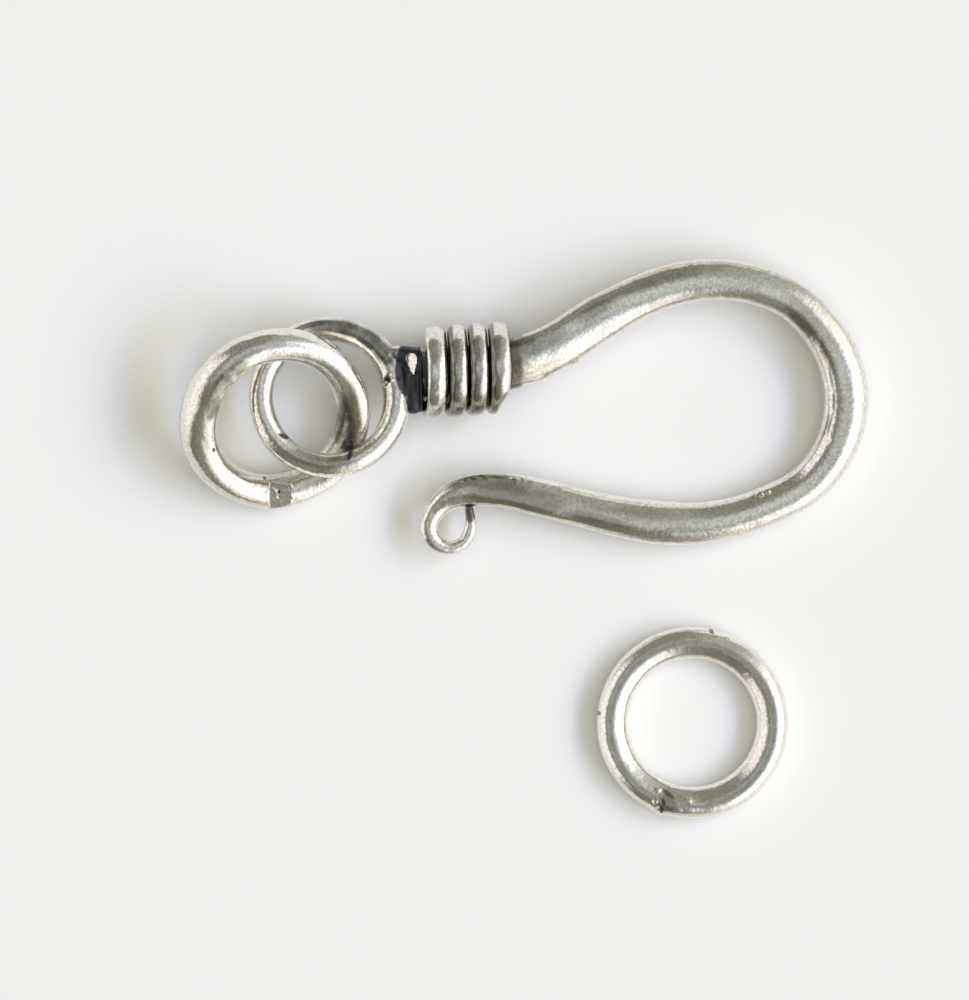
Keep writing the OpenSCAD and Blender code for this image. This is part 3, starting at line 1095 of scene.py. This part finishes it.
def worn_silver_group():
    """Old silver: its colour, roughness and fine relief, with blackened and browned places, which are
    stains, oxide and painted shade.
    """
    tree, given, made = new_group(
        "worn_silver",
        "ShaderNodeTree",
        [
            ("Place", "Vector"),
            ("Wire Place", "Vector"),
            ("Dark Stain And Shade", "Float"),
            ("Brown Stain And Shade", "Float"),
            ("Film", "Float"),
            ("Seed", "Float"),
        ],
        [("Colour", "Color"), ("Roughness", "Float"), ("Height", "Float")],
    )
    place, seed = given["Place"], given["Seed"]
    broad, mottle, speckle, grain = (
        noise(tree, place, *size, seed) for size in (BROAD, MOTTLE, SPECKLE, GRAIN)
    )
    drawn = vector_maths(tree, "MULTIPLY", given["Wire Place"], DRAWN_OUT)
    marks = noise(tree, drawn, 1.0, 4.0, seed)

    # Weak blackening is a soft darkening, of tarnish and of painted shade. Strong blackening is black
    # with ragged edges
    ragged = maths(tree, "MULTIPLY", maths(tree, "SUBTRACT", mottle, 0.5), 1.1)
    dark = maths(tree, "ADD", given["Dark Stain And Shade"], ragged)
    strong = ramp(tree, given["Dark Stain And Shade"], 0.5, 0.6)
    black = maths(tree, "MULTIPLY", ramp(tree, dark, 0.50, 0.72), strong)
    patchy = ramp(tree, mottle, 0.35, 0.65, 1.0, 0.75)
    soft_darkening = maths(tree, "MULTIPLY", ramp(tree, given["Dark Stain And Shade"], 0.0, 0.5), patchy)
    brown = maths(tree, "MULTIPLY", given["Brown Stain And Shade"], ramp(tree, mottle, 0.35, 0.65, 0.45, 1.0))
    # A thin grey film lies over all of it in specks
    film = maths(tree, "MULTIPLY", given["Film"], ramp(tree, broad, 0.3, 0.7, 0.6, 1.0))
    film = maths(tree, "MULTIPLY", film, ramp(tree, speckle, 0.42, 0.60, 0.0, 1.0))
    worn = blend(tree, brown, blend(tree, film, CLEAN, FILMED), BROWN)
    worn = blend(tree, soft_darkening, worn, TARNISH_AND_SHADE)
    feed(tree, made["Colour"], blend(tree, black, worn, BLACK))

    rough = maths(tree, "ADD", 0.075, ramp(tree, marks, 0.35, 0.75, 0.0, 0.08))
    rough = maths(tree, "ADD", rough, ramp(tree, grain, 0.55, 0.75, 0.0, 0.10))
    feed(tree, made["Roughness"], maths(tree, "MULTIPLY_ADD", black, 0.26, rough))

    # Relief in mm
    pits = ramp(tree, grain, 0.62, 0.75, 0.0, -0.003)
    relief = maths(tree, "MULTIPLY_ADD", mottle, 0.015, pits)
    relief = maths(tree, "MULTIPLY_ADD", speckle, 0.008, relief)
    relief = maths(tree, "MULTIPLY_ADD", marks, 0.006, relief)
    feed(tree, made["Height"], maths(tree, "MULTIPLY_ADD", black, -0.01, relief))
    return tree


def silver_finish(name, film, seed):
    material = bpy.data.materials.new(name)
    material.use_nodes = True
    tree = material.node_tree
    tree.nodes.clear()
    shader = add_node(tree, "ShaderNodeBsdfPrincipled")
    shader.inputs["Metallic"].default_value = 1.0
    worn = add_node(tree, "ShaderNodeGroup", node_tree=WORN_SILVER)
    coordinates = add_node(tree, "ShaderNodeTexCoord").outputs["Object"]
    feed(tree, worn.inputs["Place"], scaled(tree, coordinates, 1 / MM))
    for socket, mark, output in (
        ("Wire Place", WIRE_PLACE, "Vector"),
        ("Dark Stain And Shade", DARK_STAIN_AND_SHADE, "Fac"),
        ("Brown Stain And Shade", BROWN_STAIN_AND_SHADE, "Fac"),
    ):
        read = add_node(tree, "ShaderNodeAttribute", attribute_name=mark)
        feed(tree, worn.inputs[socket], read.outputs[output])
    worn.inputs["Film"].default_value = film
    worn.inputs["Seed"].default_value = seed
    feed(tree, shader.inputs["Base Color"], worn.outputs["Colour"])
    feed(tree, shader.inputs["Roughness"], worn.outputs["Roughness"])
    bump = add_node(tree, "ShaderNodeBump")
    bump.inputs["Distance"].default_value = MM
    feed(tree, bump.inputs["Height"], worn.outputs["Height"])
    feed(tree, shader.inputs["Normal"], bump.outputs["Normal"])
    output = add_node(tree, "ShaderNodeOutputMaterial")
    feed(tree, output.inputs["Surface"], shader.outputs["BSDF"])
    return material


# Table, light and camera


def make_table():
    half = TABLE_HALF * MM
    mesh = bpy.data.meshes.new("table")
    corners = ((-1, -1), (1, -1), (1, 1), (-1, 1))
    mesh.from_pydata([(x * half, y * half, 0) for x, y in corners], [], [(0, 1, 2, 3)])
    material = bpy.data.materials.new("pale_table")
    material.use_nodes = True
    shader = material.node_tree.nodes["Principled BSDF"]
    shader.inputs["Base Color"].default_value = (0.90, 0.90, 0.895, 1)
    shader.inputs["Roughness"].default_value = 0.7
    shader.inputs["Specular IOR Level"].default_value = 0.2
    mesh.materials.append(material)
    plain_object("table", mesh)


def card_across(tree, azimuth, middle, half_width, edge):
    """Share of a soft-edged card in the room, by its way and half its width."""
    off = maths(tree, "WRAP", maths(tree, "SUBTRACT", azimuth, middle), 180.0, -180.0)
    return ramp(tree, maths(tree, "ABSOLUTE", off), half_width - edge, half_width + edge, 1.0, 0.0)


def table_light(tree, azimuth, zenith):
    """Tan light from overhead and all sides, and a window that is blue above and yellow below."""
    pane = blend(tree, ramp(tree, zenith, 42.0, 56.0), BLUE_PANE, YELLOW_PANE)
    below_top = ramp(tree, zenith, 33.0, 42.0)
    height = maths(tree, "MULTIPLY", below_top, ramp(tree, zenith, 52.0, 64.0, 1.0, 0.0))
    window = maths(tree, "MULTIPLY", height, card_across(tree, azimuth, *WINDOW_LIGHT))
    around = blend(tree, ramp(tree, zenith, 10.0, 85.0), TAN_HIGH, TAN_LOW)
    around = blend(tree, card_across(tree, azimuth, *LEFT_LIGHT), around, TAN_LEFT)
    around = blend(tree, ramp(tree, zenith, 14.0, 34.0), OVERHEAD, around)
    return blend(tree, window, around, pane)


def mirrored_room(tree, azimuth, zenith):
    """The room's sides with two corners, the ceiling, the pale wall and the window's glare."""
    sides = blend(tree, card_across(tree, azimuth, *DARK_CORNER), ROOM_SIDES, IN_DARK_CORNER)
    sides = blend(tree, card_across(tree, azimuth, *PALE_CORNER), sides, IN_PALE_CORNER)
    room = blend(tree, ramp(tree, zenith, 4.0, 30.0), CEILING, sides)
    wall_across = card_across(tree, azimuth, *PALE_WALL)
    wall = maths(tree, "MULTIPLY", wall_across, ramp(tree, zenith, 36.0, 48.0))
    room = blend(tree, wall, room, blend(tree, wall, WALL_HIGH, WALL_LOW))
    onset = maths(tree, "POWER", ramp(tree, zenith, 8.0, 46.0), 1.5)
    glare = blend(tree, ramp(tree, zenith, 30.0, 60.0), GLARE_HIGH, GLARE_LOW)
    window = maths(tree, "MULTIPLY", onset, card_across(tree, azimuth, *WINDOW_GLARE))
    return blend(tree, window, room, glare)


def light_room():
    """A dim room with a tall window to the right, a pale wall to the left and a grey ceiling."""
    world = bpy.data.worlds.new("room")
    bpy.context.scene.world = world
    world.use_nodes = True
    tree = world.node_tree
    tree.nodes.clear()
    way = add_node(tree, "ShaderNodeSeparateXYZ")
    feed(tree, way.inputs[0], add_node(tree, "ShaderNodeTexCoord").outputs["Generated"])
    azimuth = maths(tree, "DEGREES", maths(tree, "ARCTAN2", way.outputs["Y"], way.outputs["X"]))
    zenith = maths(tree, "DEGREES", maths(tree, "ARCCOSINE", way.outputs["Z"]))
    light, mirrored = table_light(tree, azimuth, zenith), mirrored_room(tree, azimuth, zenith)
    background = add_node(tree, "ShaderNodeBackground")
    in_metal = add_node(tree, "ShaderNodeLightPath").outputs["Is Glossy Ray"]
    feed(tree, background.inputs["Color"], blend(tree, in_metal, light, mirrored))
    output = add_node(tree, "ShaderNodeOutputWorld")
    feed(tree, output.inputs["Surface"], background.outputs[0])
    bpy.context.scene.view_settings.view_transform = "Standard"


def make_camera():
    camera = bpy.data.cameras.new("camera")
    made = bpy.data.objects.new("camera", camera)
    bpy.context.scene.collection.objects.link(made)
    made.location = (PICTURE_MIDDLE[0] * MM, PICTURE_MIDDLE[1] * MM, CAMERA_HEIGHT * MM)
    camera.sensor_width = SENSOR
    camera.lens = SENSOR * CAMERA_HEIGHT * PIXELS_PER_MM / PICTURE_HIGH
    camera.clip_start, camera.clip_end = 0.01, 10.0
    bpy.context.scene.camera = made


WIRE_TREE = wire_tree()
WORN_SILVER = worn_silver_group()
make_camera()
light_room()
make_table()
make_hook(silver_finish("hook_silver", film=0.66, seed=2.0))
make_coil(silver_finish("coil_silver", film=0.72, seed=5.0))
make_linked_ring(silver_finish("link_silver", film=0.50, seed=9.0))
make_loose_ring(silver_finish("catch_silver", film=0.38, seed=14.0))
